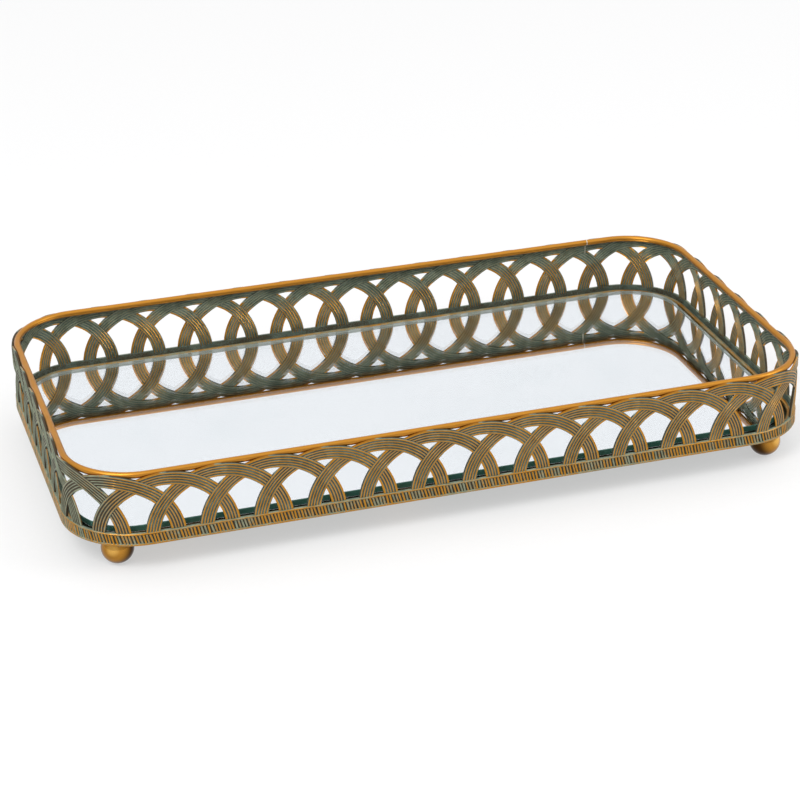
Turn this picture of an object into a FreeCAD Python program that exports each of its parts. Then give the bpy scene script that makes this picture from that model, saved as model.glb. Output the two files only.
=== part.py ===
import FreeCAD, Part
import math
import os
import re

import Sketcher
from FreeCAD import Placement, Rotation, Vector

# Dresser vanity tray: a mirror on a sheet brass base, inside a pierced gallery of interlaced
# arches, on four screwed ball feet. Millimetres, +Z up, +X along the tray, origin on the
# surface that the feet stand on, under the middle of the tray.

doc = FreeCAD.newDocument("vanity_tray")

# ------------------------------------------------------------------ the sheet of sizes
# The wall line is the middle of the gallery's thickness, seen from above.
DRIVING = [
    ("wall_length", 350.0, "wall line, end to end"),
    ("wall_width", 182.3, "wall line, back to front"),
    ("corner_radius", 33.0, "corner of the wall line"),
    ("gallery_thickness", 1.2, "gallery strip"),
    ("gallery_foot", 13.7, "lower edge of the gallery above the table"),
    ("gallery_crest", 47.6, "crests of the arches above the table"),
    ("band_height", 6.1, "unpierced band along the gallery's foot"),
    ("arch_count", 42, "arches round the whole gallery"),
    ("arch_lead", 15.8, "from the back's middle to the first arch clockwise of it"),
    ("arch_reach", 1.2475, "from an arch's middle to its foot, in arch spacings"),
    ("arch_spring", 16.2, "height that the arches spring from"),
    ("ribbon_width", 6.1, "ribbon that each arch is made of"),
    ("seam_setback", 11.7, "from the back's right-hand corner to the gallery's seam"),
    ("rim_diameter", 3.0, "rim wire"),
    ("rim_height", 46.9, "middle of the rim wire above the table"),
    ("footwire_diameter", 2.6, "wire at the foot of the gallery, inside"),
    ("plate_thickness", 1.0, "base plate"),
    ("plate_height", 13.95, "underside of the base plate above the table"),
    ("plate_clearance", 0.1, "base plate to gallery, all round"),
    ("glass_thickness", 3.0, "mirror glass"),
    ("glass_gap_right", 5.0, "wall line to the glass, at the right"),
    ("glass_gap_back", 5.4, "wall line to the glass, at the back"),
    ("glass_gap_left", 5.8, "wall line to the glass, at the left"),
    ("glass_gap_front", 9.8, "wall line to the glass, at the front"),
    ("glass_chamfer", 0.3, "ground arris of the glass"),
    ("backing_thickness", 0.1, "silvering and its paint"),
    ("adhesive_thickness", 0.2, "adhesive sheet"),
    ("adhesive_margin", 9.0, "edge of the glass to edge of the adhesive"),
    ("ball_diameter", 14.7, "ball foot"),
    ("foot_inset_x", 19.9, "wall line to foot, along the tray"),
    ("foot_inset_y", 13.9, "wall line to foot, across the tray"),
    ("screw_diameter", 3.0, "foot screw"),
    ("screw_length", 8.0, "foot screw, with its countersunk head"),
    ("head_diameter", 5.8, "countersunk head"),
    ("head_sink", 0.1, "top of the head below the top of the plate"),
    ("screw_clearance", 0.05, "all round the screw"),
    ("tap_spare", 1.0, "threaded hole beyond the screw's end"),
    ("slot_width", 0.9, "screwdriver slot"),
    ("slot_depth", 0.5, "screwdriver slot"),
]

DERIVED = [
    ("straight_x", "wall_length - 2 * corner_radius"),
    ("straight_y", "wall_width - 2 * corner_radius"),
    ("wall_around", "2 * straight_x + 2 * straight_y + 2 * pi * corner_radius"),
    ("arch_pitch", "wall_around / arch_count"),
    ("seam_place", "straight_x / 2 - seam_setback"),
    ("rim_inset", "(gallery_thickness + rim_diameter) / 2"),
    ("footwire_inset", "(gallery_thickness + footwire_diameter) / 2"),
    ("plate_inset", "gallery_thickness / 2 + plate_clearance"),
    ("plate_top", "plate_height + plate_thickness"),
    ("footwire_height", "plate_top + footwire_diameter / 2"),
    ("glass_corner", "corner_radius - (glass_gap_back + glass_gap_front) / 2"),
    ("adhesive_top", "plate_top + adhesive_thickness"),
    ("backing_top", "adhesive_top + backing_thickness"),
    ("foot_x", "wall_length / 2 - foot_inset_x"),
    ("foot_y", "wall_width / 2 - foot_inset_y"),
    ("ball_radius", "ball_diameter / 2"),
    ("seat_radius", "sqrt(ball_radius ^ 2 - (plate_height - ball_radius) ^ 2)"),
    ("head_top", "plate_top - head_sink"),
    ("head_radius", "head_diameter / 2"),
    ("screw_radius", "screw_diameter / 2"),
    ("head_base", "head_top - head_radius + screw_radius"),
    ("screw_end", "head_top - screw_length"),
    ("tap_radius", "screw_radius + screw_clearance"),
    ("tap_end", "screw_end - tap_spare"),
    ("sink_radius", "head_radius + head_sink + screw_clearance"),
    ("mouth_radius", "sink_radius - plate_thickness"),
    ("mouth_base", "plate_height - mouth_radius + tap_radius"),
    ("slot_floor", "head_top - slot_depth"),
]

sheet = doc.addObject("Spreadsheet::Sheet", "dimensions")
for row, (alias, value, note) in enumerate(DRIVING, start=1):
    sheet.set(f"A{row}", alias)
    sheet.set(f"B{row}", str(value))
    sheet.set(f"C{row}", note)
    sheet.setAlias(f"B{row}", alias)
for row, (alias, formula) in enumerate(DERIVED, start=len(DRIVING) + 1):
    sheet.set(f"A{row}", alias)
    sheet.set(f"B{row}", "=" + formula)
    sheet.setAlias(f"B{row}", alias)
doc.recompute()

subparts = []


def size(alias):
    """The number in the sheet's cell of this name."""
    return float(sheet.get(alias))


def on_sheet(formula):
    """A formula of cell names, as an expression that other objects can read."""
    return re.sub(r"[a-z]\w+", lambda word: "dimensions." + word.group(), formula)


def amount(formula):
    """What a formula of cell names comes to."""
    return float(sheet.evalExpression(formula))


# ------------------------------------------------------------------ bodies and sketches
def new_body(label):
    """A body that becomes one sub-part."""
    body = doc.addObject("PartDesign::Body", "body_" + label)
    body.Label = label
    subparts.append(body)
    return body


def new_sketch(body, name, plane, lift="0"):
    """A sketch on one of the body's origin planes, lifted along that plane's normal."""
    sketch = body.newObject("Sketcher::SketchObject", name + "_" + body.Label)
    support = [item for item in body.Origin.OriginFeatures if item.Role == plane]
    sketch.AttachmentSupport = (support[0], "")
    sketch.MapMode = "FlatFace"
    sketch.setExpression("AttachmentOffset.Base.z", on_sheet(lift))
    return sketch


def bind(sketch, kind, places, formula):
    """A sketch dimension that follows a formula."""
    index = sketch.addConstraint(Sketcher.Constraint(kind, *places, amount(formula)))
    sketch.setExpression(f"Constraints[{index}]", on_sheet(formula))


ORIGIN = (-1, 1)
START, END, CENTRE = 1, 2, 3


def pin_point(sketch, line, x, y):
    """Holds the start of a line at a place given by two formulas, either of which may be 0."""
    for kind, formula, axis in (("DistanceX", x, -2), ("DistanceY", y, -1)):
        if formula == "0":
            sketch.addConstraint(Sketcher.Constraint("PointOnObject", line, START, axis))
        elif amount(formula) > 0:
            bind(sketch, kind, (*ORIGIN, line, START), formula)
        else:
            bind(sketch, kind, (line, START, *ORIGIN), f"-({formula})")


def polygon(sketch, corners):
    """A closed outline through corners whose two coordinates are formulas."""
    places = [Vector(amount(x), amount(y), 0) for x, y in corners]
    lines = []
    for here, there in zip(places, places[1:] + places[:1]):
        lines.append(sketch.addGeometry(Part.LineSegment(here, there), False))
    for line, after in zip(lines, lines[1:] + lines[:1]):
        sketch.addConstraint(Sketcher.Constraint("Coincident", line, END, after, START))
    for line, (x, y) in zip(lines, corners):
        pin_point(sketch, line, x, y)


def along_wall(inset):
    """The gaps and corner of an outline that follows the wall line, inside it by the inset."""
    return [inset] * 4, f"corner_radius - {inset}"


def along_glass(inset):
    """The gaps and corner of an outline that follows the glass, inside its edge by the inset."""
    gaps = ["glass_gap_right", "glass_gap_back", "glass_gap_left", "glass_gap_front"]
    return [f"({gap} + {inset})" for gap in gaps], f"glass_corner - {inset}"


def rounded_rectangle(sketch, gaps, corner):
    """An outline inside the wall line by four gaps, with one radius to all its corners."""
    east = f"wall_length / 2 - {gaps[0]}"
    north = f"wall_width / 2 - {gaps[1]}"
    west = f"wall_length / 2 - {gaps[2]}"
    south = f"wall_width / 2 - {gaps[3]}"
    right, left, back, front = amount(east), -amount(west), amount(north), -amount(south)
    round_off = amount(corner)
    centres = [
        (right - round_off, front + round_off, -90),
        (right - round_off, back - round_off, 0),
        (left + round_off, back - round_off, 90),
        (left + round_off, front + round_off, 180),
    ]
    arcs = []
    for x, y, start in centres:
        circle = Part.Circle(Vector(x, y, 0), Vector(0, 0, 1), round_off)
        span = math.radians(start), math.radians(start + 90)
        arcs.append(sketch.addGeometry(Part.ArcOfCircle(circle, *span), False))
    sides = []
    for arc, after in zip(arcs, arcs[1:] + arcs[:1]):
        leave = sketch.getPoint(arc, END)
        arrive = sketch.getPoint(after, START)
        sides.append(sketch.addGeometry(Part.LineSegment(leave, arrive), False))
    for arc, side, after in zip(arcs, sides, arcs[1:] + arcs[:1]):
        sketch.addConstraint(Sketcher.Constraint("Tangent", arc, END, side, START))
        sketch.addConstraint(Sketcher.Constraint("Tangent", side, END, after, START))
    for side, kind in zip(sides, ("Vertical", "Horizontal", "Vertical", "Horizontal")):
        sketch.addConstraint(Sketcher.Constraint(kind, side))
    for arc in arcs[1:]:
        sketch.addConstraint(Sketcher.Constraint("Equal", arcs[0], arc))
    bind(sketch, "Radius", (arcs[0],), corner)
    bind(sketch, "DistanceX", (*ORIGIN, sides[0], START), east)
    bind(sketch, "DistanceY", (*ORIGIN, sides[1], START), north)
    bind(sketch, "DistanceX", (sides[2], START, *ORIGIN), west)
    bind(sketch, "DistanceY", (sides[3], START, *ORIGIN), south)


def pad(body, sketch, height):
    """Thickens a sketch along its normal."""
    feature = body.newObject("PartDesign::Pad", "pad_" + body.Label)
    feature.Profile = sketch
    feature.setExpression("Length", on_sheet(height))
    sketch.Visibility = False
    return feature


def sheet_body(label, underside, thickness, gaps, corner):
    """A flat rounded rectangular sheet, lying level."""
    body = new_body(label)
    outline = new_sketch(body, "outline", "XY_Plane", underside)
    rounded_rectangle(outline, gaps, corner)
    pad(body, outline, thickness)
    return body


# ------------------------------------------------------------------ base and mirror
FOOT_CORNERS = {
    "front_left": (-1, -1),
    "front_right": (1, -1),
    "back_right": (1, 1),
    "back_left": (-1, 1),
}


def base_plate():
    """Sheet brass inside the gallery's band, countersunk for the four foot screws."""
    body = sheet_body("base_plate", "plate_height", "plate_thickness", *along_wall("plate_inset"))
    doc.recompute()
    centres = new_sketch(body, "screw_centres", "XY_Plane", "plate_top")
    for side_x, side_y in FOOT_CORNERS.values():
        where = Vector(side_x * size("foot_x"), side_y * size("foot_y"), 0)
        circle = centres.addGeometry(Part.Circle(where, Vector(0, 0, 1), size("tap_radius")))
        bind(centres, "Radius", (circle,), "tap_radius")
        ends_x = ORIGIN + (circle, CENTRE) if side_x > 0 else (circle, CENTRE) + ORIGIN
        ends_y = ORIGIN + (circle, CENTRE) if side_y > 0 else (circle, CENTRE) + ORIGIN
        bind(centres, "DistanceX", ends_x, "foot_x")
        bind(centres, "DistanceY", ends_y, "foot_y")
    holes = body.newObject("PartDesign::Hole", "screw_holes")
    holes.Profile = centres
    holes.DepthType = "ThroughAll"
    holes.HoleCutType = "Countersink"
    holes.HoleCutCustomValues = True
    holes.HoleCutCountersinkAngle = 90
    holes.setExpression("Diameter", on_sheet("2 * tap_radius"))
    holes.setExpression("HoleCutDiameter", on_sheet("2 * sink_radius"))


def mirror_glass():
    """Clear float glass with its arris ground, a little smaller than the plate it lies on."""
    body = sheet_body("mirror_glass", "backing_top", "glass_thickness", *along_glass("0"))
    doc.recompute()
    slab = body.Tip
    faces = enumerate(slab.Shape.Faces, start=1)
    level = [f"Face{number}" for number, face in faces if abs(face.normalAt(0, 0).z) > 0.99]
    arris = body.newObject("PartDesign::Chamfer", "ground_arris")
    arris.Base = (slab, level)
    arris.setExpression("Size", on_sheet("glass_chamfer"))


def mirror_backing():
    """The silver coat and the paint over it, on the underside of the glass."""
    sheet_body("mirror_backing", "adhesive_top", "backing_thickness", *along_glass("glass_chamfer"))


def adhesive_sheet():
    """Double-sided adhesive sheet that holds the mirror down and covers the screw heads."""
    sheet_body("adhesive_sheet", "plate_top", "adhesive_thickness", *along_glass("adhesive_margin"))


# ------------------------------------------------------------------ wires
def wire_ring(label, inset, height, diameter):
    """A round wire bent to the tray's outline, on the inner side of the gallery."""
    body = new_body(label)
    route = new_sketch(body, "route", "XY_Plane", height)
    rounded_rectangle(route, *along_wall(inset))
    section = new_sketch(body, "section", "XZ_Plane")
    place = Vector(amount(f"wall_length / 2 - {inset}"), amount(height), 0)
    circle = section.addGeometry(Part.Circle(place, Vector(0, 0, 1), amount(diameter) / 2))
    bind(section, "Diameter", (circle,), diameter)
    bind(section, "DistanceX", (*ORIGIN, circle, CENTRE), f"wall_length / 2 - {inset}")
    bind(section, "DistanceY", (*ORIGIN, circle, CENTRE), height)
    pipe = body.newObject("PartDesign::AdditivePipe", "pipe_" + label)
    pipe.Profile = section
    pipe.Spine = route


# ------------------------------------------------------------------ feet and their screws
def turned_body(label, side_x, side_y):
    """An empty body whose own Z axis stands at a foot."""
    body = new_body(label)
    body.setExpression("Placement.Base.x", on_sheet(f"{side_x} * foot_x"))
    body.setExpression("Placement.Base.y", on_sheet(f"{side_y} * foot_y"))
    return body


def turn(body, section, kind):
    """Turns a section round the body's Z axis, adding or cutting."""
    feature = body.newObject("PartDesign::" + kind, kind.lower() + "_" + body.Label)
    feature.Profile = section
    feature.ReferenceAxis = (section, ["V_Axis"])
    feature.Angle = 360


def ball_foot(label, side_x, side_y):
    """A solid turned ball with a flat seat on top, tapped for its screw."""
    body = turned_body(label, side_x, side_y)
    half = new_sketch(body, "half_ball", "XZ_Plane")
    radius = size("ball_radius")
    rise = size("plate_height") - radius
    bottom = Vector(0, 0, 0)
    seat_edge = Vector(size("seat_radius"), size("plate_height"), 0)
    seat_middle = Vector(0, size("plate_height"), 0)
    ball = Part.ArcOfCircle(Part.Circle(Vector(0, radius, 0), Vector(0, 0, 1), radius),
                            -math.pi / 2, math.asin(rise / radius))
    arc = half.addGeometry(ball, False)
    seat = half.addGeometry(Part.LineSegment(seat_edge, seat_middle), False)
    axis = half.addGeometry(Part.LineSegment(seat_middle, bottom), False)
    for first, second in ((arc, seat), (seat, axis)):
        half.addConstraint(Sketcher.Constraint("Coincident", first, END, second, START))
    half.addConstraint(Sketcher.Constraint("Coincident", axis, END, arc, START))
    half.addConstraint(Sketcher.Constraint("Coincident", axis, END, *ORIGIN))
    half.addConstraint(Sketcher.Constraint("PointOnObject", arc, CENTRE, -2))
    half.addConstraint(Sketcher.Constraint("Horizontal", seat))
    half.addConstraint(Sketcher.Constraint("PointOnObject", axis, START, -2))
    bind(half, "Radius", (arc,), "ball_radius")
    bind(half, "DistanceY", (*ORIGIN, axis, START), "plate_height")
    turn(body, half, "Revolution")
    tapping = new_sketch(body, "tapping", "XZ_Plane")
    polygon(tapping, [
        ("0", "tap_end"),
        ("tap_radius", "tap_end"),
        ("tap_radius", "mouth_base"),
        ("mouth_radius", "plate_height"),
        ("0", "plate_height"),
    ])
    turn(body, tapping, "Groove")


def foot_screw(label, side_x, side_y):
    """A slotted countersunk screw, flush in the plate, holding one ball foot."""
    body = turned_body(label, side_x, side_y)
    half = new_sketch(body, "half_screw", "XZ_Plane")
    polygon(half, [
        ("0", "screw_end"),
        ("screw_radius", "screw_end"),
        ("screw_radius", "head_base"),
        ("head_radius", "head_top"),
        ("0", "head_top"),
    ])
    turn(body, half, "Revolution")
    slot = new_sketch(body, "slot", "XY_Plane", "head_top")
    polygon(slot, [
        ("head_radius", "slot_width / 2"),
        ("-head_radius", "slot_width / 2"),
        ("-head_radius", "-slot_width / 2"),
        ("head_radius", "-slot_width / 2"),
    ])
    cut = body.newObject("PartDesign::Pocket", "driver_slot_" + label)
    cut.Profile = slot
    cut.setExpression("Length", on_sheet("slot_depth"))


# ------------------------------------------------------------------ gallery
# The arches overlap their neighbours and are wrapped round the corners, so the gallery is
# plain strip with the openings between the ribbons cut through it.
def wall_runs():
    """Straights and quarter turns of the wall line, clockwise from the back's middle."""
    quarter = math.pi / 2 * size("corner_radius")
    along, across = size("straight_x"), size("straight_y")
    return [(along / 2, False), (quarter, True), (across, False), (quarter, True),
            (along, False), (quarter, True), (across, False), (quarter, True),
            (along / 2, False)]


def moved_on(place, distance, turning):
    """A place on the wall line, carried along a straight or a clockwise turn."""
    if not turning:
        return place * Placement(Vector(distance, 0, 0), Rotation())
    radius = size("corner_radius")
    angle = math.degrees(distance / radius)
    inwards = Placement(Vector(0, -radius, 0), Rotation())
    swing = Placement(Vector(), Rotation(Vector(0, 0, 1), -angle))
    return place * inwards * swing * inwards.inverse()


def run_starts():
    """Each run of the wall line with its travel and its place at the start: X along, Y out."""
    place = Placement(Vector(0, size("wall_width") / 2, 0), Rotation())
    travel = 0
    starts = []
    for length, turning in wall_runs():
        starts.append((travel, length, turning, place))
        place = moved_on(place, length, turning)
        travel += length
    return starts


def wall_place(travel):
    """The place on the wall line after this much travel."""
    travel %= size("wall_around")
    for start, length, turning, place in run_starts():
        if travel <= start + length:
            return moved_on(place, travel - start, turning)


SHORTEST_RUN = 0.001


def plain_strip(begin, end):
    """Unpierced gallery strip between two travels."""
    thick, foot = size("gallery_thickness"), size("gallery_foot")
    tall, radius = size("gallery_crest") - foot, size("corner_radius")
    around = size("wall_around")
    runs = [(start - around * lap, *run) for lap in (1, 0) for start, *run in run_starts()]
    pieces = []
    for start, length, turning, place in runs:
        first, last = max(begin, start), min(end, start + length)
        if last - first < SHORTEST_RUN:
            continue
        here = moved_on(place, first - start, turning)
        if turning:
            angle = math.degrees((last - first) / radius)
            outer = Part.makeCylinder(radius + thick / 2, tall, Vector(), Vector(0, 0, 1), angle)
            inner = Part.makeCylinder(radius - thick / 2, tall, Vector(), Vector(0, 0, 1), angle)
            piece = outer.cut(inner)
            piece.Placement = here * Placement(Vector(0, -radius, foot),
                                               Rotation(Vector(0, 0, 1), 90 - angle))
        else:
            piece = Part.makeBox(last - first, thick, tall, Vector(0, -thick / 2, foot))
            piece.Placement = here
        pieces.append(piece)
    if len(pieces) == 1:
        return pieces[0]
    return pieces[0].fuse(pieces[1:]).removeSplitter()


def upright_face(curve):
    """A filled closed curve, stood up in the XZ plane."""
    face = Part.Face(Part.Wire([curve.toShape()]))
    face.rotate(Vector(), Vector(1, 0, 0), 90)
    return face


def ribbon_ellipse(middle, offset):
    """The ellipse beside the centre line of an arch's ribbon, as an upright face."""
    reach = size("arch_reach") * size("arch_pitch") + offset
    rise = size("gallery_crest") - size("arch_spring") - size("ribbon_width") / 2 + offset
    centre = Vector(middle, size("arch_spring"), 0)
    if reach > rise:
        curve = Part.Ellipse(centre, reach, rise)
    else:
        curve = Part.Ellipse(centre + Vector(0, rise, 0), centre + Vector(reach, 0, 0), centre)
    return upright_face(curve)


def upright_rectangle(left, right, low, high):
    """A rectangle in the XZ plane."""
    corners = [(left, low), (right, low), (right, high), (left, high), (left, low)]
    return Part.Face(Part.makePolygon([Vector(x, 0, z) for x, z in corners]))


def opening_cutters():
    """What is cut away between the ribbons, for one arch at the origin and its right side."""
    pitch, half = size("arch_pitch"), size("ribbon_width") / 2
    band_top, crest = size("gallery_foot") + size("band_height"), size("gallery_crest")
    neighbours = math.ceil(size("arch_reach") + half / pitch) + 1
    region = upright_rectangle(-pitch, 2 * pitch, band_top, crest)
    arches = [number * pitch for number in range(-neighbours, neighbours + 2)]
    ribbons = [ribbon_ellipse(x, half).cut(ribbon_ellipse(x, -half)) for x in arches]
    open_faces = region.cut(ribbons).Faces
    faces = [face for face in open_faces if -pitch / 4 <= face.CenterOfMass.x < pitch * 3 / 4]
    depth = 4 * size("gallery_thickness")
    return [face.translated(Vector(0, -depth / 2, 0)).extrude(Vector(0, depth, 0)) for face in faces]


def gallery_length(label, begin, end, openings):
    """One length of the pierced gallery, between two travels along the wall line."""
    strip = plain_strip(begin, end)
    pitch = size("arch_pitch")
    first = math.floor((begin - size("arch_lead")) / pitch) - 1
    last = math.ceil((end - size("arch_lead")) / pitch) + 1
    cutters = []
    for number in range(first, last + 1):
        for cutter in openings:
            middle = size("arch_lead") + number * pitch + cutter.CenterOfMass.x
            opening = cutter.translated(Vector(-cutter.CenterOfMass.x, 0, 0))
            opening.Placement = wall_place(middle) * opening.Placement
            if opening.BoundBox.intersect(strip.BoundBox):
                cutters.append(opening)
    feature = doc.addObject("Part::Feature", label)
    feature.Label = label
    feature.Shape = strip.cut(cutters)
    feature.Placement = Placement()
    subparts.append(feature)


def gallery():
    """Straight and corner lengths, meeting end to end; one joint is the seam at the back."""
    starts = [travel for travel, length, turning, place in run_starts()]
    around, seam = size("wall_around"), size("seam_place")
    openings = opening_cutters()
    gallery_length("gallery_corner_back_right", seam, starts[2], openings)
    gallery_length("gallery_right", starts[2], starts[3], openings)
    gallery_length("gallery_corner_front_right", starts[3], starts[4], openings)
    gallery_length("gallery_front", starts[4], starts[5], openings)
    gallery_length("gallery_corner_front_left", starts[5], starts[6], openings)
    gallery_length("gallery_left", starts[6], starts[7], openings)
    gallery_length("gallery_corner_back_left", starts[7], starts[8], openings)
    gallery_length("gallery_back", starts[8] - around, seam, openings)


# ------------------------------------------------------------------ the whole tray
base_plate()
adhesive_sheet()
mirror_backing()
mirror_glass()
wire_ring("foot_wire", "footwire_inset", "footwire_height", "footwire_diameter")
wire_ring("rim_wire", "rim_inset", "rim_height", "rim_diameter")
for corner, (side_x, side_y) in FOOT_CORNERS.items():
    ball_foot("foot_" + corner, side_x, side_y)
    foot_screw("foot_screw_" + corner, side_x, side_y)
gallery()
doc.recompute()

for item in doc.Objects:
    if "Invalid" in item.State or "Error" in item.State:
        raise RuntimeError(f"{item.Label} did not recompute: {item.State}")
for part in subparts:
    if part.Shape.isNull() or not part.Shape.isValid():
        raise RuntimeError(f"{part.Label} has no valid shape")

os.makedirs("parts", exist_ok=True)
for part in subparts:
    part.Shape.exportStep(f"parts/{part.Label}.step")
    print(f"{part.Label:28} {len(part.Shape.Solids)} solid {part.Shape.Volume:12.2f} mm3")
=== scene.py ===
import math
import random

import bmesh
import bpy
from mathutils import Matrix, Vector, noise


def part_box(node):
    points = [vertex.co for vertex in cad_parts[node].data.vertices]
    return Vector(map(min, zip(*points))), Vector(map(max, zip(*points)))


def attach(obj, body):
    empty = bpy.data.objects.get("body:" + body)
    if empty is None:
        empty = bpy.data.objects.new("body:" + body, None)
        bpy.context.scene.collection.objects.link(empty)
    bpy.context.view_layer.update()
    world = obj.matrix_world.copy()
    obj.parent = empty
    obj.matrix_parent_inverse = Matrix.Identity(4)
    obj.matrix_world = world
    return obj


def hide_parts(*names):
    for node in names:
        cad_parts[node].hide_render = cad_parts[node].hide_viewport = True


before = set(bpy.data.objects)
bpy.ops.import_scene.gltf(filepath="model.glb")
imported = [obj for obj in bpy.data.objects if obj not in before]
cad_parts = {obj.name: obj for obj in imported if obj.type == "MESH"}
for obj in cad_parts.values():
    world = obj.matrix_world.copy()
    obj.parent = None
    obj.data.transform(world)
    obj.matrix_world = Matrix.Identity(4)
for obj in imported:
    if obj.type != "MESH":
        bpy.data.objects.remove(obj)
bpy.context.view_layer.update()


# ---------------------------------------------------------------------------- base plate
# Sheet brass cut to the tray's outline and soldered inside the foot of the gallery. Its
# underside and the margin round the mirror are seen, tarnished, with the sheet's rolling lines.
def new_material(name):
    """A node material that holds only its output."""
    material = bpy.data.materials.new(name)
    material.use_nodes = True
    material.node_tree.nodes.clear()
    material.node_tree.nodes.new("ShaderNodeOutputMaterial")
    return material


def add(material, kind, inputs=None, **settings):
    """Adds a shader node with its settings, and sets or links its inputs."""
    tree = material.node_tree
    made = tree.nodes.new("ShaderNode" + kind)
    for key, value in settings.items():
        setattr(made, key, value)
    for key, value in (inputs or {}).items():
        if isinstance(value, bpy.types.NodeSocket):
            tree.links.new(value, made.inputs[key])
        else:
            made.inputs[key].default_value = value
    return made


def object_place(material, stretch=(1, 1, 1)):
    """Object coordinates, stretched along the axes."""
    place = add(material, "TexCoord").outputs["Object"]
    return add(material, "Mapping", {"Vector": place, "Scale": stretch}).outputs["Vector"]


def grain(material, place, scale, detail=3.0):
    """Noise about 0.5, with its scale in features to the metre."""
    inputs = {"Vector": place, "Scale": scale, "Detail": detail}
    return add(material, "TexNoise", inputs).outputs["Fac"]


def spread(material, value, low, high, to_low=0.0, to_high=1.0):
    """Stretches a value smoothly from one range to another, and holds it there."""
    inputs = {0: value, 1: low, 2: high, 3: to_low, 4: to_high}
    return add(material, "MapRange", inputs, interpolation_type="SMOOTHSTEP").outputs[0]


def blended(material, share, first, second):
    """Two colours mixed by a share that changes over the surface."""
    inputs = {0: share, 6: first, 7: second}
    return add(material, "Mix", inputs, data_type="RGBA").outputs[2]


def bumped(material, height, depth):
    """A normal from a height, with its depth in metres."""
    return add(material, "Bump", {"Height": height, "Distance": depth}).outputs["Normal"]


def shade_with(material, inputs):
    """Ends a material in one surface shader."""
    surface = add(material, "BsdfPrincipled", inputs).outputs["BSDF"]
    output = material.node_tree.nodes["Material Output"]
    material.node_tree.links.new(surface, output.inputs["Surface"])
    return material


def dress(piece, *materials):
    """Gives a piece its materials, in the order that its faces number them."""
    if piece.data.materials:
        piece.data.materials.clear()
    for material in materials:
        piece.data.materials.append(material)


def rolled_brass():
    """Sheet brass gone dark green-brown, with rolling lines along the tray."""
    material = new_material("rolled_brass")
    even = object_place(material)
    rolled = object_place(material, (1, 60, 1))
    tarnish = spread(material, grain(material, even, 22, 5), 0.30, 0.52)
    lines = grain(material, rolled, 30, 2)
    return shade_with(material, {
        "Base Color": blended(material, tarnish, (0.30, 0.19, 0.07, 1), (0.055, 0.080, 0.055, 1)),
        "Metallic": 1.0,
        "Roughness": spread(material, lines, 0.3, 0.7, 0.32, 0.5),
        "Normal": bumped(material, lines, 0.00004),
    })


dress(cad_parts["base_plate"], rolled_brass())


# ---------------------------------------------------------------------------- foot screws
# Four small slotted steel screws, let in flush with the plate and hidden by the mirror.
def turned_steel():
    """Bright steel with a thin film of old grease."""
    material = new_material("turned_steel")
    film = grain(material, object_place(material), 900)
    return shade_with(material, {
        "Base Color": blended(material, film, (0.52, 0.52, 0.53, 1), (0.36, 0.35, 0.33, 1)),
        "Metallic": 1.0,
        "Roughness": spread(material, film, 0.3, 0.7, 0.25, 0.42),
    })


CORNERS = ("front_left", "front_right", "back_right", "back_left")
STEEL = turned_steel()
for corner in CORNERS:
    dress(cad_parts["foot_screw_" + corner], STEEL)


# ---------------------------------------------------------------------------- ball feet
# Four solid brass balls, turned and gilt, with painted light: brighter where they face out and up,
# with a painted pale highlight there, and painted dark shade beneath.
# Each has a small flat on top that its screw draws up against the plate.
def worked(material, operation, first, second):
    """One step of arithmetic on values that change over the surface."""
    return add(material, "Math", {0: first, 1: second}, operation=operation).outputs[0]


def satin_gilt(name, streaks_lie, bright, dull, sheen):
    """Satin gold, tarnished in clouds and specks, with painted light from a vertex attribute: painted
    dull shade where it is 0 and a painted pale highlight where it is over 1.
    """
    material = new_material(name)
    even = object_place(material)
    cloud = spread(material, grain(material, even, 45, 4), 0.40, 0.72)
    speck = spread(material, grain(material, even, 900, 4), 0.60, 0.78)
    clouds = worked(material, "MULTIPLY", cloud, 0.40)
    specks = worked(material, "MULTIPLY", speck, 0.25)
    # a vertex attribute of painted light: low is painted shade, over 0.86 a painted pale highlight
    painted_light = add(material, "Attribute", attribute_name="painted_light").outputs["Fac"]
    painted_shade = spread(material, painted_light, 0.0, 1.0, 1.0, 0.0)
    # darkened by painted shade and by real tarnish clouds and specks
    shade_and_tarnish = worked(material, "MAXIMUM", painted_shade, worked(material, "MAXIMUM", clouds, specks))
    streaks = grain(material, object_place(material, streaks_lie), 300)
    # a painted pale highlight at the core of the lit side
    painted_highlight = blended(material, spread(material, painted_light, 0.86, 1.10), bright, (0.85, 0.48, 0.11, 1))
    return shade_with(material, {
        "Base Color": blended(material, shade_and_tarnish, painted_highlight, dull),
        "Metallic": 1.0,
        "Roughness": spread(material, streaks, 0.3, 0.7, sheen, sheen + 0.10),
        "Normal": bumped(material, streaks, 0.000006),
    })


def finished(bm, name, materials, replaced, crease):
    """Makes worked stuff a piece of the tray, smooth but for edges sharper than crease."""
    bmesh.ops.recalc_face_normals(bm, faces=bm.faces)
    for face in bm.faces:
        face.smooth = True
    for edge in bm.edges:
        edge.smooth = abs(edge.calc_face_angle(0)) < crease
    mesh = bpy.data.meshes.new(name)
    bm.to_mesh(mesh)
    bm.free()
    piece = bpy.data.objects.new(name, mesh)
    bpy.context.scene.collection.objects.link(piece)
    dress(piece, *materials)
    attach(piece, "root")
    if replaced:
        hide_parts(*replaced)
    return piece


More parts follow.
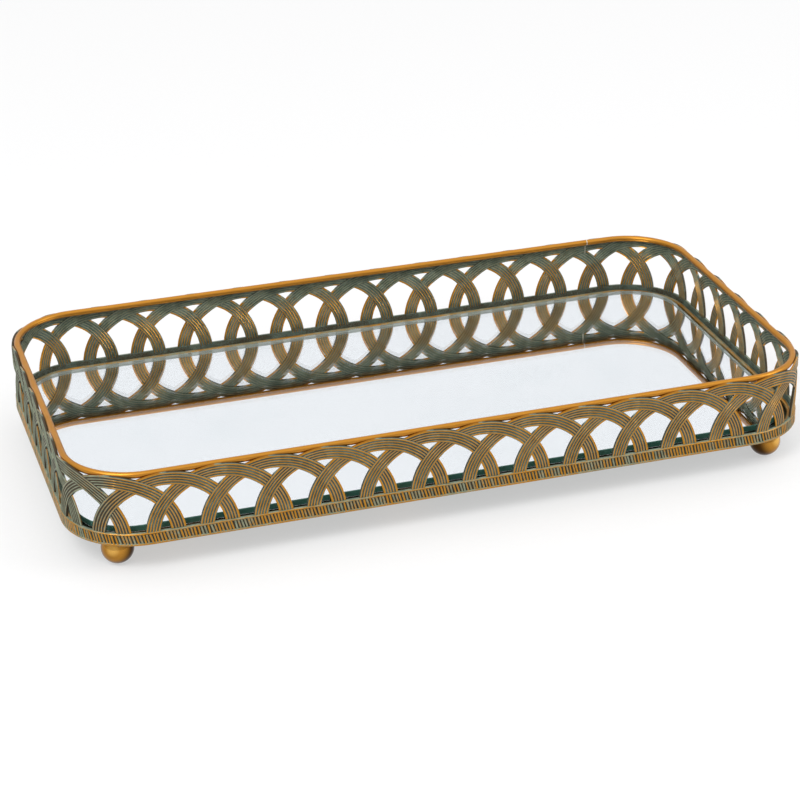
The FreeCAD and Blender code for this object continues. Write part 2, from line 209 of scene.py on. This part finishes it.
BALL_GILT = satin_gilt("ball_gilt", (1, 1, 5), (0.48, 0.225, 0.035, 1), (0.060, 0.026, 0.006, 1), 0.15)
for corner in CORNERS:
    low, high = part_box("foot_" + corner)
    radius = (high.x - low.x) / 2
    centre = Vector(((low.x + high.x) / 2, (low.y + high.y) / 2, low.z + radius))
    outwards = Vector((math.copysign(0.47, centre.x), math.copysign(0.84, centre.y), 0.27))
    bm = bmesh.new()
    painted_light = bm.verts.layers.float.new("painted_light")
    bmesh.ops.create_uvsphere(bm, u_segments=64, v_segments=32, radius=radius)
    for vert in bm.verts:
        # painted light: brighter on the side that faces out and up, painted shade beneath
        vert[painted_light] = max(1.4 * outwards.dot(vert.co) / radius - 0.35, 0)
    bmesh.ops.translate(bm, verts=bm.verts, vec=centre)
    everything = bm.verts[:] + bm.edges[:] + bm.faces[:]
    seat = bmesh.ops.bisect_plane(bm, geom=everything, dist=1e-7, plane_co=(0, 0, high.z),
                                  plane_no=(0, 0, 1), clear_outer=True)
    seat_rim = [item for item in seat["geom_cut"] if isinstance(item, bmesh.types.BMEdge)]
    bmesh.ops.contextual_create(bm, geom=seat_rim)
    finished(bm, "ball_" + corner, [BALL_GILT], ["foot_" + corner], math.radians(40))


# ---------------------------------------------------------------------------- adhesive sheet
# A thin double-sided sheet under the mirror. Only its cut edge could be seen, past the glass.
def pressed_adhesive():
    """Cream adhesive film over a fine scrim."""
    material = new_material("pressed_adhesive")
    inputs = {"Vector": object_place(material), "Scale": 300, "Distortion": 1.5}
    scrim = add(material, "TexWave", inputs).outputs["Fac"]
    return shade_with(material, {
        "Base Color": blended(material, scrim, (0.56, 0.53, 0.45, 1), (0.64, 0.62, 0.55, 1)),
        "Roughness": 0.75,
        "Normal": bumped(material, scrim, 0.00003),
    })


dress(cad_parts["adhesive_sheet"], pressed_adhesive())


# ---------------------------------------------------------------------------- mirror
# Clear float glass, 3 mm thick, silvered underneath, with its edges ground matt. It looks
# colourless from above and deep green through its edges.
def silvering():
    """The silver coat against the glass, with the faintest clouding."""
    material = new_material("silvering")
    cloud = grain(material, object_place(material), 12)
    return shade_with(material, {
        "Base Color": blended(material, cloud, (0.94, 0.945, 0.955, 1), (0.91, 0.915, 0.93, 1)),
        "Metallic": 1.0,
        "Roughness": 0.0,
    })


def clear_glass():
    """The polished faces of float glass, wiped not quite clean."""
    material = new_material("clear_glass")
    wiped = spread(material, grain(material, object_place(material), 30, 4), 0.45, 0.75)
    return shade_with(material, {
        "Base Color": blended(material, wiped, (0.985, 0.995, 0.99, 1), (0.97, 0.985, 0.98, 1)),
        "Transmission Weight": 1.0,
        "IOR": 1.52,
        "Roughness": spread(material, wiped, 0.0, 1.0, 0.0, 0.012),
    })


def ground_glass():
    """A ground edge of float glass with painted light: its green tint painted deep with shade from
    outside, and painted pale with light seen through the glass itself.
    """
    material = new_material("ground_glass")
    within = add(material, "NewGeometry").outputs["Backfacing"]
    scuffs = grain(material, object_place(material, (1, 1, 8)), 500, 4)
    outside = blended(material, scuffs, (0.045, 0.165, 0.130, 1), (0.075, 0.235, 0.190, 1))
    return shade_with(material, {
        # painted light: deep green with painted shade outside, painted pale with light from within
        "Base Color": blended(material, within, outside, (0.46, 0.54, 0.48, 1)),
        "Transmission Weight": 0.12,
        "IOR": 1.52,
        "Roughness": spread(material, scuffs, 0.3, 0.7, 0.40, 0.55),
    })


front_low, front_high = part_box("gallery_front")
right_low, right_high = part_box("gallery_right")
WALL_X = (right_low.x + right_high.x) / 2
WALL_Y = -(front_low.y + front_high.y) / 2
HALF_ALONG = front_high.x
HALF_ACROSS = right_high.y
CORNER_RADIUS = WALL_X - HALF_ALONG
SILVER_GAP = 0.00003
GROUND_EDGE = 0.0003
dress(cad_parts["mirror_backing"], silvering())
low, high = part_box("mirror_glass")
low.z += SILVER_GAP
size = high - low
bm = bmesh.new()
bmesh.ops.create_cube(bm, size=1)
bmesh.ops.scale(bm, verts=bm.verts, vec=size)
bmesh.ops.translate(bm, verts=bm.verts, vec=(low + high) / 2)
uprights = [edge for edge in bm.edges if edge.verts[0].co.xy == edge.verts[1].co.xy]
bmesh.ops.bevel(bm, geom=uprights, offset=CORNER_RADIUS - (WALL_Y - size.y / 2), segments=16,
                profile=0.5, affect="EDGES", material=-1)
arrises = [edge for edge in bm.edges if abs(edge.verts[0].co.z - edge.verts[1].co.z) < size.z / 2]
bmesh.ops.bevel(bm, geom=arrises, offset=GROUND_EDGE, segments=1, profile=0.5,
                affect="EDGES", material=-1)
for face in bm.faces:
    face.material_index = 0 if abs(face.normal.z) > 0.9 else 1
finished(bm, "mirror", [clear_glass(), ground_glass()], ["mirror_glass"],
         math.radians(20))


# ---------------------------------------------------------------------------- gallery band
# The foot of the cast strip: a bead along its lower edge, a thin fillet along its upper one,
# and a sunk face between them for the ribs, painted dark with shade. Its inner face is plain, deep
# green with patina and painted darker with shade.
CORNER_BEND = math.pi / 2 * CORNER_RADIUS
AROUND = 4 * (HALF_ALONG + HALF_ACROSS + CORNER_BEND)
CORNER_CENTRES = [Vector((HALF_ALONG * x, HALF_ACROSS * y, 0))
                  for x, y in ((1, 1), (1, -1), (-1, -1), (-1, 1))]


def aged_brass():
    """Cast brass under grey-green patina, worn back to gold where it stands proud, and painted dark
    brown with shade in its crevices and under its overlaps.

    Its gold-and-shade attribute is 1 on what is worn bare, 0.3 on pale olive, 0 on deep green, and
    below 0 painted dark brown with shade.
    """
    material = new_material("aged_brass")
    place = object_place(material)
    # gold where worn above 0, painted shade below 0
    proud = add(material, "Attribute", attribute_name="gilding_and_shade").outputs["Fac"]
    fine = grain(material, place, 1400, 4)
    broad = grain(material, place, 60, 4)
    wear_and_shade = worked(material, "ADD", proud, spread(material, fine, 0.25, 0.75, -0.12, 0.12))
    wear_and_shade = worked(material, "ADD", wear_and_shade, spread(material, broad, 0.3, 0.7, -0.10, 0.10))
    bare = spread(material, wear_and_shade, 0.46, 0.76)
    pale = spread(material, wear_and_shade, 0.05, 0.34)
    # 0 below -0.40 where the tone is painted shade, 1 above -0.05 where it is patina
    green = spread(material, wear_and_shade, -0.40, -0.05)
    gold = blended(material, fine, (0.60, 0.280, 0.034, 1), (0.36, 0.158, 0.019, 1))
    mottle = spread(material, grain(material, place, 260, 5), 0.3, 0.7)
    deep = blended(material, mottle, (0.055, 0.082, 0.060, 1), (0.115, 0.160, 0.125, 1))
    olive = blended(material, mottle, (0.150, 0.165, 0.100, 1), (0.245, 0.265, 0.172, 1))
    patina = blended(material, pale, deep, olive)
    # painted shade: the dark brown where the attribute is below 0, in crevices, recesses and under
    # overlaps
    shade_and_tarnish = blended(material, green, (0.040, 0.024, 0.006, 1), patina)
    return shade_with(material, {
        "Base Color": blended(material, bare, shade_and_tarnish, gold),
        "Metallic": spread(material, bare, 0.0, 1.0, 0.15, 1.0),
        "Roughness": spread(material, bare, 0.0, 1.0, 0.62, 0.34),
        "Normal": bumped(material, fine, 0.00005),
    })


def run_round(bm, edges, corner_steps):
    """Carries a section at the back wall's left-hand end once round the tray, clockwise."""
    last = CORNER_CENTRES[-1]
    for centre in CORNER_CENTRES:
        grown = bmesh.ops.extrude_edge_only(bm, edges=edges)["geom"]
        ends = [item for item in grown if isinstance(item, bmesh.types.BMVert)]
        bmesh.ops.translate(bm, verts=ends, vec=centre - last)
        edges = [item for item in grown if isinstance(item, bmesh.types.BMEdge)]
        turned = bmesh.ops.spin(bm, geom=ends + edges, cent=centre, axis=(0, 0, -1),
                                angle=math.pi / 2, steps=corner_steps, use_duplicate=False)
        edges = [item for item in turned["geom_last"] if isinstance(item, bmesh.types.BMEdge)]
        last = centre
    bmesh.ops.remove_doubles(bm, verts=bm.verts, dist=1e-6)


def on_wall(travel, out, height):
    """The place that far clockwise from the back's middle, off the wall line, and up."""
    travel = (travel + HALF_ALONG) % AROUND
    for corner, centre in enumerate(CORNER_CENTRES):
        leg = 2 * (HALF_ACROSS if corner % 2 else HALF_ALONG)
        if travel < leg + CORNER_BEND:
            break
        travel -= leg + CORNER_BEND
    heading = -math.pi / 2 * corner
    short = max(leg - travel, 0)
    turned = heading - max(travel - leg, 0) / CORNER_RADIUS
    reach = CORNER_RADIUS + out
    return Vector((centre.x - short * math.cos(heading) - reach * math.sin(turned),
                   centre.y - short * math.sin(heading) + reach * math.cos(turned), height))


AGED_BRASS = aged_brass()
GALLERY_NODES = [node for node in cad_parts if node.startswith("gallery_")]
BAND_FOOT = front_low.z
BAND_SECTION = (
    # off the wall line, above the band's foot, gilding (below 0 painted shade)
    (-0.00055, 0.0000, -0.20), (0.00045, 0.0000, 0.40), (0.00090, 0.0002, 0.60),
    (0.00110, 0.0006, 0.72), (0.00095, 0.0010, 0.55), (0.00040, 0.0013, -0.45),
    (0.00040, 0.0051, -0.45), (0.00085, 0.0053, 0.50), (0.00100, 0.0056, 0.72),
    (0.00085, 0.0059, 0.62), (0.00045, 0.0061, 0.30), (-0.00045, 0.0061, 0.10),
    (-0.00055, 0.0059, -0.20),
)
bm = bmesh.new()
gilding_and_shade = bm.verts.layers.float.new("gilding_and_shade")
corners = []
for out, rise, gilt_and_shade in BAND_SECTION:
    corner = bm.verts.new((-HALF_ALONG, WALL_Y + out, BAND_FOOT + rise))
    corner[gilding_and_shade] = gilt_and_shade
    corners.append(corner)
section = [bm.edges.new(pair) for pair in zip(corners, corners[1:] + corners[:1])]
run_round(bm, section, 16)
finished(bm, "gallery_band", [AGED_BRASS], [], math.radians(50))


# ---------------------------------------------------------------------------- gallery ribs
# The slanting ribs of the band, cast with it. They were cut by hand in the pattern, so they
# differ a little in slant, width and height, and some are choked with patina.
RIB_PITCH = 0.0015
RIB_SLANT = 0.0011
RIB_FOOT = BAND_FOOT + 0.0010
RIB_TOP = BAND_FOOT + 0.0053
dice = random.Random(7)
rib_count = round(AROUND / RIB_PITCH)
bm = bmesh.new()
gilding_and_shade = bm.verts.layers.float.new("gilding_and_shade")
for number in range(rib_count):
    travel = number * AROUND / rib_count + dice.uniform(-0.00012, 0.00012)
    half_width = dice.uniform(0.00050, 0.00062)
    stand_out = dice.uniform(0.00070, 0.00100)
    slant = RIB_SLANT + dice.uniform(-0.00025, 0.00025)
    worn = dice.choice((0.50, 0.62, 0.68, 0.78, 0.92))
    for vert in bmesh.ops.create_cube(bm, size=1)["verts"]:
        side = 1 if vert.co.x > 0 else -1
        proud = vert.co.y > 0
        top = vert.co.z > 0
        along = travel + side * half_width * (0.6 if proud else 1) + slant * (0.5 if top else -0.5)
        # the rib's outer face keeps its wear; its sides and foot are painted dark with shade
        vert[gilding_and_shade] = worn if proud else -0.45
        vert.co = on_wall(along, stand_out if proud else 0.0003, RIB_TOP if top else RIB_FOOT)
finished(bm, "gallery_ribs", [AGED_BRASS], [], math.radians(30))


# ---------------------------------------------------------------------------- gallery arches
# The openwork of the cast strip: forty-two round arches of reeded ribbon, each woven over and
# under the two on either side of it, so that the strip is thicker wherever a ribbon is on top.
ARCHES = 42
PITCH = AROUND / ARCHES
ARCH_LEAD = 0.0158
ARCH_REACH = 1.2475 * PITCH
ARCH_SPRING = 0.0162
RIBBON = 0.0061
REEDS = 5
ARCH_RISE = front_high.z - RIBBON / 2 - ARCH_SPRING
FOOT_ANGLE = math.radians(5.5)
ARCH_STEPS = 42
CREST_OUT = 0.00074
GROOVE_OUT = 0.00042
EDGE_OUT = 0.00045
UNDER_SHARE = 0.52
TURNS_OVER = (48, 90, 132)
TURN_SPAN = 8


def smooth_step(value, low, high):
    """0 below low, 1 above high, and a smooth rise between."""
    share = min(max((value - low) / (high - low), 0), 1)
    return share * share * (3 - 2 * share)


REED_SECTION = (
    # from the reed's middle in reed spacings, off the wall line, gilding: painted dark shade along
    # each reed's inner flank
    (-0.30, GROOVE_OUT, -0.50), (-0.13, CREST_OUT, 0.90), (0.13, CREST_OUT, 1.0),
    (0.27, GROOVE_OUT, -0.10), (0.60, GROOVE_OUT, -0.16),
)


def reeded_face():
    """Across the ribbon, its stand-out and its gold and painted shade. The outer reeds run to its
    edges.
    """
    pitch = RIBBON / REEDS
    for number in range(REEDS):
        middle = (number - (REEDS - 1) / 2) * pitch
        for shift, out, gilt_and_shade in REED_SECTION:
            if abs(middle + shift * pitch) < 0.45 * RIBBON:
                yield middle + shift * pitch, out, gilt_and_shade


def on_top(angle):
    """1 where the ribbon lies over its neighbours and 0 where it lies under them."""
    share = 1.0
    for number, turn in enumerate(TURNS_OVER):
        step = smooth_step(math.degrees(angle), turn - TURN_SPAN / 2, turn + TURN_SPAN / 2)
        share += step if number % 2 else -step
    return share


arch = bmesh.new()
gilding_and_shade = arch.verts.layers.float.new("gilding_and_shade")
edge = RIBBON / 2
outer = [(-edge, EDGE_OUT, 0)] + list(reeded_face()) + [(edge, EDGE_OUT, 0)]
corners = []
for across, out, gilt_and_shade in outer + [(across, -out, gilt_and_shade) for across, out, gilt_and_shade in reversed(outer)]:
    corner = arch.verts.new((ARCH_RISE + across, out, 0))
    corner[gilding_and_shade] = gilt_and_shade
    corners.append(corner)
end = arch.faces.new(corners)
bmesh.ops.rotate(arch, verts=corners, matrix=Matrix.Rotation(-FOOT_ANGLE, 3, "Y"))
bmesh.ops.spin(arch, geom=[end], cent=(0, 0, 0), axis=(0, -1, 0),
               angle=math.pi - 2 * FOOT_ANGLE, steps=ARCH_STEPS)
for vert in arch.verts:
    # an edge is painted dark with shade where its ribbon lies over the others and is gold where it
    # lies under them;
    # the outer face is painted a little darker with shade where its ribbon lies under;
    # the inner face is gold along the reeds of the legs and green by the crest
    angle = math.atan2(vert.co.z, vert.co.x)
    over = on_top(angle)
    foot = math.degrees(min(angle, math.pi - angle) - FOOT_ANGLE)
    from_middle = abs(math.hypot(vert.co.x, vert.co.z) - ARCH_RISE)
    if from_middle > RIBBON * 0.499:
        vert[gilding_and_shade] = 0.95 - 1.35 * over
    elif vert.co.y < 0 and vert[gilding_and_shade] > 0.5:
        edge_reed = 0.30 * (1 - over) * smooth_step(from_middle, 0.36 * RIBBON, 0.38 * RIBBON)
        vert[gilding_and_shade] = 0.78 - 0.38 * smooth_step(vert.co.z, 0.014, 0.026) + edge_reed
    elif vert.co.y < 0:
        vert[gilding_and_shade] = 0.17 + 0.5 * vert[gilding_and_shade]
    else:
        vert[gilding_and_shade] -= 0.12 * (1 - over)
    vert.co.y *= (UNDER_SHARE + (1 - UNDER_SHARE) * over) * (0.75 + 0.25 * smooth_step(foot, 0, 5))
pattern = bpy.data.meshes.new("arch_pattern")
arch.to_mesh(pattern)
arch.free()

bm = bmesh.new()
for number in range(ARCHES):
    known = len(bm.verts)
    bm.from_mesh(pattern)
    bm.verts.ensure_lookup_table()
    gilding_and_shade = bm.verts.layers.float["gilding_and_shade"]
    travel = ARCH_LEAD + number * PITCH
    for vert in bm.verts[known:]:
        across, out, rise = vert.co
        wobble = 0.00005 * noise.noise(Vector((across * 260, rise * 260, number * 13)))
        place = on_wall(travel + across * ARCH_REACH / ARCH_RISE,
                        out + math.copysign(wobble, out), rise + ARCH_SPRING)
        # painted light: the outer faces at the left end turn greener and less gold towards the left
        # wall, for how that side looks at a grazing angle
        if out > 0 and place.x < -HALF_ALONG:
            vert[gilding_and_shade] -= 0.50 * smooth_step(-place.x, HALF_ALONG, WALL_X)
        vert.co = place
bpy.data.meshes.remove(pattern)
finished(bm, "gallery_arches", [AGED_BRASS], GALLERY_NODES, math.radians(60))


# ---------------------------------------------------------------------------- wires
# Two round brass wires bent to the tray's outline and soldered to the inner side of the
# gallery: one at its foot, round the mirror, and one along the top as the tray's rim.
WIRE_GILT = satin_gilt("wire_gilt", (1, 1, 1), (0.56, 0.25, 0.035, 1), (0.40, 0.165, 0.024, 1), 0.34)
WIRES = (("foot_wire", "inner_wire", AGED_BRASS), ("rim_wire", "top_wire", WIRE_GILT))
for node, name, metal in WIRES:
    low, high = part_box(node)
    radius = (high.z - low.z) / 2
    bm = bmesh.new()
    gilding_and_shade = bm.verts.layers.float.new("gilding_and_shade")
    painted_light = bm.verts.layers.float.new("painted_light")
    bmesh.ops.create_circle(bm, segments=20, radius=radius)
    bmesh.ops.rotate(bm, verts=bm.verts, matrix=Matrix.Rotation(math.pi / 2, 3, "Y"))
    for vert in bm.verts:
        vert[gilding_and_shade] = 0.62 - 0.9 * max(vert.co.y / radius, 0)
        # painted light for the rim wire: lighter on top, painted shade on the underside
        vert[painted_light] = 0.50 + 0.30 * vert.co.z / radius
    bmesh.ops.translate(bm, verts=bm.verts, vec=(-HALF_ALONG, high.y - radius, low.z + radius))
    run_round(bm, bm.edges[:], 16)
    long_edges = [edge for edge in bm.edges if edge.calc_length() > HALF_ACROSS]
    bmesh.ops.subdivide_edges(bm, edges=long_edges, cuts=40, use_grid_fill=True)
    for vert in bm.verts:
        vert.co += noise.noise_vector(vert.co * 25) * 0.00004
    finished(bm, name, [metal], [node], math.radians(60))


# ---------------------------------------------------------------------------- solder seam
# The strip and its rim meet end to end near the back's right-hand corner. The joint was run
# with silver solder and filed, and shows as a fine pale line inside.
def silver_solder():
    """Pale solder, filed bright and a little pitted."""
    material = new_material("silver_solder")
    pits = grain(material, object_place(material), 1500, 4)
    return shade_with(material, {
        "Base Color": blended(material, pits, (0.78, 0.74, 0.62, 1), (0.55, 0.50, 0.38, 1)),
        "Metallic": spread(material, pits, 0.3, 0.7, 0.8, 1.0),
        "Roughness": spread(material, pits, 0.3, 0.7, 0.35, 0.55),
        "Normal": bumped(material, pits, 0.00004),
    })


SEAM_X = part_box("gallery_back")[1].x
SEAM_FOOT = 0.0405
SEAM_HALF = 0.00022
rim_low, rim_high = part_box("rim_wire")
rim_radius = (rim_high.z - rim_low.z) / 2
rim_y = rim_high.y - rim_radius
bm = bmesh.new()
bmesh.ops.create_cone(bm, cap_ends=True, segments=24, depth=2 * SEAM_HALF,
                      radius1=rim_radius + 0.00008, radius2=rim_radius + 0.00008)
bmesh.ops.rotate(bm, verts=bm.verts, matrix=Matrix.Rotation(math.pi / 2, 3, "Y"))
bmesh.ops.translate(bm, verts=bm.verts, vec=(SEAM_X, rim_y, rim_low.z + rim_radius))
line = bmesh.ops.create_cone(bm, cap_ends=True, segments=10, radius1=SEAM_HALF, radius2=SEAM_HALF,
                             depth=rim_low.z + rim_radius - SEAM_FOOT)["verts"]
bmesh.ops.translate(bm, verts=line, vec=(SEAM_X, WALL_Y - CREST_OUT,
                                         (rim_low.z + rim_radius + SEAM_FOOT) / 2))
finished(bm, "solder_seam", [silver_solder()], [], math.radians(40))


# ---------------------------------------------------------------------------- studio
# A white floor under a pale room that is brightest behind the tray, where the mirror looks.
def white_floor():
    """Matt white board with a barely visible tooth, lit from beneath so that shadows stay soft."""
    material = new_material("white_floor")
    tooth = grain(material, object_place(material), 400)
    return shade_with(material, {
        "Base Color": blended(material, tooth, (0.38, 0.38, 0.38, 1), (0.36, 0.36, 0.36, 1)),
        "Emission Color": (1, 1, 1, 1),
        "Emission Strength": 0.50,
        "Roughness": 0.9,
        "Normal": bumped(material, tooth, 0.00002),
    })


bm = bmesh.new()
bmesh.ops.create_grid(bm, x_segments=1, y_segments=1, size=6)
mesh = bpy.data.meshes.new("floor")
bm.to_mesh(mesh)
bm.free()
floor = bpy.data.objects.new("floor", mesh)
bpy.context.scene.collection.objects.link(floor)
dress(floor, white_floor())

world = bpy.data.worlds.new("room")
world.use_nodes = True
world.node_tree.nodes.clear()
direction = add(world, "TexCoord").outputs["Generated"]
parts = add(world, "SeparateXYZ", {"Vector": direction}).outputs
behind = spread(world, parts["Y"], -0.6, 0.5)
walls = blended(world, behind, (0.68, 0.68, 0.70, 1), (0.95, 0.965, 1.00, 1))
above = spread(world, parts["Z"], 0.45, 0.95)
room = blended(world, above, walls, (1.15, 1.14, 1.12, 1))
glow = add(world, "Background", {"Color": room, "Strength": 1.0})
output = world.node_tree.nodes.new("ShaderNodeOutputWorld")
world.node_tree.links.new(glow.outputs["Background"], output.inputs["Surface"])
bpy.context.scene.world = world


def lamp(name, place, target, width, power):
    """A square soft box at a place, facing a target."""
    light = bpy.data.lights.new(name, "AREA")
    light.size = width
    light.energy = power
    holder = bpy.data.objects.new(name, light)
    holder.location = place
    holder.rotation_euler = (Vector(target) - Vector(place)).to_track_quat("-Z", "Y").to_euler()
    bpy.context.scene.collection.objects.link(holder)


lamp("key_light", (-0.8, -0.7, 1.3), (0, 0, 0.03), 0.6, 12)
lamp("fill_light", (1.1, -0.6, 0.8), (0, 0, 0.03), 0.7, 5)


# ---------------------------------------------------------------------------- camera
# A long lens from the front left, looking down at the tray.
azimuth = math.radians(-17.355)
elevation = math.radians(26.098)
roll = math.radians(-0.885)
forward = Vector((-math.sin(azimuth) * math.cos(elevation), math.cos(azimuth) * math.cos(elevation),
                  -math.sin(elevation)))
right = forward.cross(Vector((0, 0, 1))).normalized()
up = right.cross(forward)
tilted_right = math.cos(roll) * right + math.sin(roll) * up
tilted_up = math.cos(roll) * up - math.sin(roll) * right
camera = bpy.data.objects.new("camera", bpy.data.cameras.new("camera"))
camera.data.sensor_width = 36
camera.data.lens = 105.38
placement = Matrix((tilted_right, tilted_up, -forward)).transposed().to_4x4()
placement.translation = (-0.3022, -0.9646, 0.5128)
camera.matrix_world = placement
bpy.context.scene.collection.objects.link(camera)
bpy.context.scene.camera = camera
bpy.context.scene.view_settings.view_transform = "Standard"
